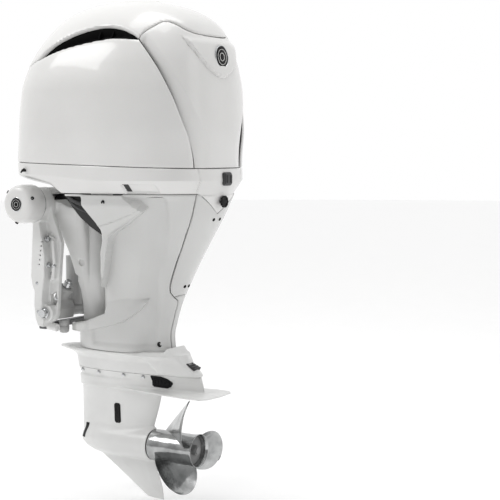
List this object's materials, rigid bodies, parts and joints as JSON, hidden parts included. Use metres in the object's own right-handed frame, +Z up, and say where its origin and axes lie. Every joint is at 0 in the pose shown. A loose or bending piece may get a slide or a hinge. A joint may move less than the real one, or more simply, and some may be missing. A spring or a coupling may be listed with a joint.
{
  "type": "outboard motor",
  "caption": "Large V6 outboard motor with white cowl and apron, clamp brackets, power tilt and steering, long leg, gearcase with skeg and a stainless propeller.",
  "frame": {"origin": "middle of the transom's top edge, in the plane of the clamp brackets' transom faces", "axes": "+X aft, +Y starboard, +Z up along the driveshaft"},
  "size_m": [0.834, 0.64, 1.89],
  "materials": {
    "pearl": "glossy pearl white paint",
    "white_metal": "satin white paint on cast aluminium",
    "black_plastic": "satin black moulded plastic",
    "rubber": "matt black rubber",
    "cast_aluminium": "as cast",
    "steel": "machined steel",
    "stainless": "turned stainless steel",
    "polished_stainless": "mirror-polished stainless steel",
    "bronze": "machined bronze",
    "zinc": "dull sacrificial anode"
  },
  "bodies": {
    "transom_bracket": {"clamp_bracket_port": "white_metal", "clamp_bracket_starboard": "white_metal", "tilt_bush_port": "bronze", "tilt_bush_starboard": "bronze", "lower_pivot_tube": "stainless", "bracket_anode": "zinc", "trim_unit": "white_metal", "trim_motor": "black_plastic"},
    "ram_port": {"trim_ram_port": "stainless"},
    "ram_starboard": {"trim_ram_starboard": "stainless"},
    "cylinder": {"tilt_cylinder": "white_metal"},
    "rod": {"tilt_rod": "stainless"},
    "swivel": {"swivel_bracket": "white_metal", "steering_cap_port": "pearl", "steering_cap_starboard": "pearl", "swivel_bush_upper": "bronze", "swivel_bush_lower": "bronze"},
    "support_lever": {"tilt_support_lever": "white_metal"},
    "screw": {"steering_screw": "steel"},
    "nut": {"steering_nut": "bronze"},
    "leg": {"steering_arm": "white_metal", "upper_mount": "rubber", "lower_yoke": "white_metal", "lower_mount": "rubber", "upper_case": "white_metal", "apron_port": "pearl", "apron_starboard": "pearl", "apron_rear_panel": "pearl", "lower_cowl": "pearl", "cowl_seal": "rubber", "cylinder_block": "cast_aluminium", "crankcase": "cast_aluminium", "cylinder_head_port": "cast_aluminium", "cylinder_head_starboard": "cast_aluminium", "exhaust_guide": "cast_aluminium", "intake_manifold": "black_plastic", "water_pump_housing": "black_plastic", "gearcase": "white_metal", "bearing_carrier": "cast_aluminium", "gearcase_anode": "zinc"},
    "cowl": {"top_cowl": "pearl", "hood_panel": "pearl", "rear_cowl_panel": "pearl", "air_intake_port": "black_plastic", "air_intake_starboard": "black_plastic"},
    "latch_front": {"cowl_latch_front": "white_metal"},
    "latch_rear": {"cowl_latch_rear": "white_metal"},
    "plug": {"flush_plug": "black_plastic"},
    "crank": {"crankshaft": "steel", "flywheel": "steel", "driveshaft": "stainless", "impeller": "rubber", "drive_pinion": "steel"},
    "gear_forward": {"forward_gear": "steel"},
    "gear_reverse": {"reverse_gear": "steel"},
    "prop": {"prop_shaft": "stainless", "propeller": "polished_stainless", "prop_nut": "stainless"},
    "clutch": {"clutch_dog": "steel"},
    "shifter": {"shift_rod": "stainless"}
  },
  "joints": [
    {"name": "tilt", "type": "hinge", "parent": "transom_bracket", "child": "swivel", "pos_m": [0, 0, 0.075], "axis": [0, -1, 0], "range_deg": [0, 67]},
    {"name": "tilt_cylinder_swing", "type": "hinge", "parent": "transom_bracket", "child": "cylinder", "pos_m": [0.045, 0, -0.345], "axis": [0, 1, 0], "range_deg": [-0.5, 8]},
    {"name": "tilt_rod_slide", "type": "slide", "parent": "cylinder", "child": "rod", "axis": [0.003, 0, 1], "range_m": [-0.001, 0.105]},
    {"name": "ram_port_slide", "type": "slide", "parent": "transom_bracket", "child": "ram_port", "axis": [0.5, 0, 0.866], "range_m": [0, 0.072]},
    {"name": "ram_starboard_slide", "type": "slide", "parent": "transom_bracket", "child": "ram_starboard", "axis": [0.5, 0, 0.866], "range_m": [0, 0.072]},
    {"name": "support_lever_swing", "type": "hinge", "parent": "swivel", "child": "support_lever", "pos_m": [0.075, 0, 0.02], "axis": [0, 1, 0], "range_deg": [0, 60]},
    {"name": "steering", "type": "hinge", "parent": "swivel", "child": "leg", "pos_m": [0.155, 0, 0], "axis": [0, 0, 1], "range_deg": [-30, 30]},
    {"name": "steering_screw_spin", "type": "hinge", "parent": "swivel", "child": "screw", "pos_m": [0, 0, 0.075], "axis": [0, 1, 0], "range_deg": [-830, 830]},
    {"name": "steering_nut_slide", "type": "slide", "parent": "swivel", "child": "nut", "axis": [0, 1, 0], "range_m": [-0.09, 0.09]},
    {"name": "cowl_lift", "type": "slide", "parent": "leg", "child": "cowl", "axis": [0, 0, 1], "range_m": [0, 0.5]},
    {"name": "latch_front_turn", "type": "hinge", "parent": "leg", "child": "latch_front", "pos_m": [0.06, -0.3, 0.204], "axis": [0, 1, 0], "range_deg": [0, 90]},
    {"name": "latch_rear_turn", "type": "hinge", "parent": "leg", "child": "latch_rear", "pos_m": [0.752, 0.02, 0.174], "axis": [1, 0, 0], "range_deg": [0, 90]},
    {"name": "flush_plug_pull", "type": "slide", "parent": "leg", "child": "plug", "axis": [1, 0, 0], "range_m": [0, 0.03]},
    {"name": "crank_spin", "type": "hinge", "parent": "leg", "child": "crank", "pos_m": [0.29, 0, 0], "axis": [0, 0, 1], "continuous": true},
    {"name": "forward_gear_spin", "type": "hinge", "parent": "leg", "child": "gear_forward", "pos_m": [0.266, 0, -0.845], "axis": [1, 0, 0], "continuous": true},
    {"name": "reverse_gear_spin", "type": "hinge", "parent": "leg", "child": "gear_reverse", "pos_m": [0.314, 0, -0.845], "axis": [1, 0, 0], "continuous": true},
    {"name": "propeller_spin", "type": "hinge", "parent": "leg", "child": "prop", "pos_m": [0.535, 0, -0.845], "axis": [1, 0, 0], "continuous": true},
    {"name": "shift_turn", "type": "hinge", "parent": "leg", "child": "shifter", "pos_m": [0.215, 0, -0.6], "axis": [0, 0, 1], "range_deg": [-30, 30]},
    {"name": "clutch_slide", "type": "slide", "parent": "prop", "child": "clutch", "axis": [1, 0, 0], "range_m": [-0.0075, 0.0075]}
  ],
  "couplings": [
    {"joint": "tilt_cylinder_swing", "follows": "tilt", "ratio": 0.11043},
    {"joint": "tilt_rod_slide", "follows": "tilt", "m_per_rad": 0.086827},
    {"joint": "ram_port_slide", "follows": "tilt", "m_per_rad": 0.06},
    {"joint": "ram_starboard_slide", "follows": "tilt", "m_per_rad": 0.06},
    {"joint": "steering_screw_spin", "follows": "steering", "ratio": -26.86},
    {"joint": "steering_nut_slide", "follows": "steering", "m_per_rad": -0.171},
    {"joint": "forward_gear_spin", "follows": "crank_spin", "ratio": 0.57143},
    {"joint": "reverse_gear_spin", "follows": "crank_spin", "ratio": -0.57143},
    {"joint": "clutch_slide", "follows": "shift_turn", "m_per_rad": 0.0135}
  ]
}
